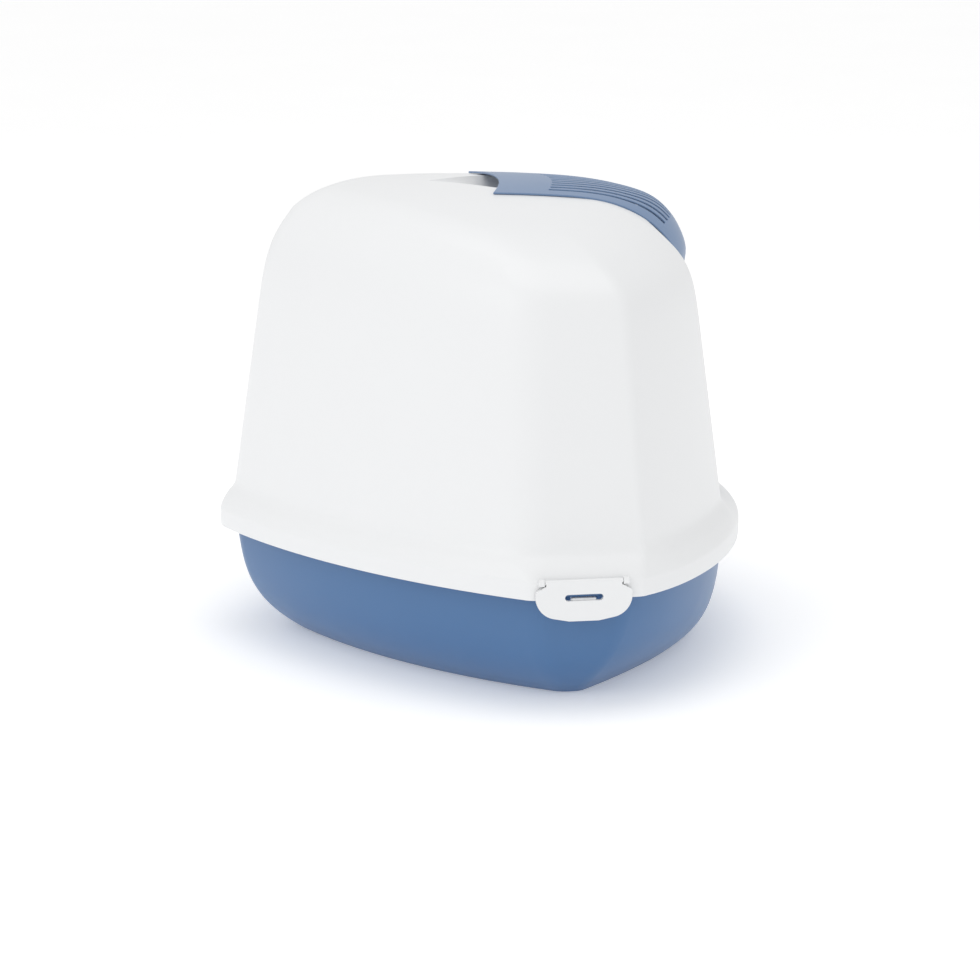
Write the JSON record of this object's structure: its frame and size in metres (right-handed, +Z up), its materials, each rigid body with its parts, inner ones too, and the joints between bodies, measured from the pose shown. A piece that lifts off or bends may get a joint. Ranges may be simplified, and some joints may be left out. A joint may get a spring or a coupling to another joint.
{
  "type": "corner cat litter box with hood",
  "caption": "Corner-shaped cat litter tray with a lift-off hood, swing-up side latches, a hinged entrance flap and a filter under a slotted vent strip.",
  "frame": {"origin": "under the middle of the bounding box, on the plane the tray stands on", "axes": "+Z up; -Y towards the entrance, +Y towards the corner that goes into a corner of the room; X across, with X = 0 the plane of mirror symmetry"},
  "size_m": [0.594, 0.455, 0.3966],
  "materials": {
    "blue_plastic": "satin moulded polypropylene",
    "white_plastic": "satin moulded polypropylene",
    "strip_plastic": "satin moulded polypropylene",
    "tinted_plastic": "clear tinted plastic",
    "charcoal_foam": "open-cell foam",
    "steel_pin": "drawn wire",
    "pin_plastic": "moulded acetal"
  },
  "bodies": {
    "base": {"tray": "blue_plastic"},
    "hood": {"hood": "white_plastic", "door_frame": "blue_plastic", "flap_pin_left": "pin_plastic", "flap_pin_right": "pin_plastic", "latch_pin_left": "steel_pin", "latch_pin_right": "steel_pin"},
    "vent_cover": {"vent_cover": "strip_plastic"},
    "filter": {"filter_holder": "blue_plastic", "filter_pad": "charcoal_foam"},
    "flap": {"door_flap": "tinted_plastic"},
    "latch_left": {"latch_left": "white_plastic"},
    "latch_right": {"latch_right": "white_plastic"}
  },
  "joints": [
    {"name": "hood_lift", "type": "slide", "parent": "base", "child": "hood", "axis": [0, 0, 1], "range_m": [0, 0.25]},
    {"name": "flap_swing", "type": "hinge", "parent": "hood", "child": "flap", "pos_m": [0, -0.163, 0.2965], "axis": [1, 0, 0], "range_deg": [-75, 75]},
    {"name": "latch_left_turn", "type": "hinge", "parent": "hood", "child": "latch_left", "pos_m": [-0.2949, -0.0425, 0.1105], "axis": [0, 1, 0], "range_deg": [0, 95]},
    {"name": "latch_right_turn", "type": "hinge", "parent": "hood", "child": "latch_right", "pos_m": [0.2949, -0.0425, 0.1105], "axis": [0, -1, 0], "range_deg": [0, 95]},
    {"name": "vent_cover_lift", "type": "slide", "parent": "hood", "child": "vent_cover", "axis": [0, -0.6, 0.8], "range_m": [0, 0.08]},
    {"name": "filter_drop", "type": "slide", "parent": "hood", "child": "filter", "axis": [0, 0.342, -0.9397], "range_m": [0, 0.05]}
  ]
}
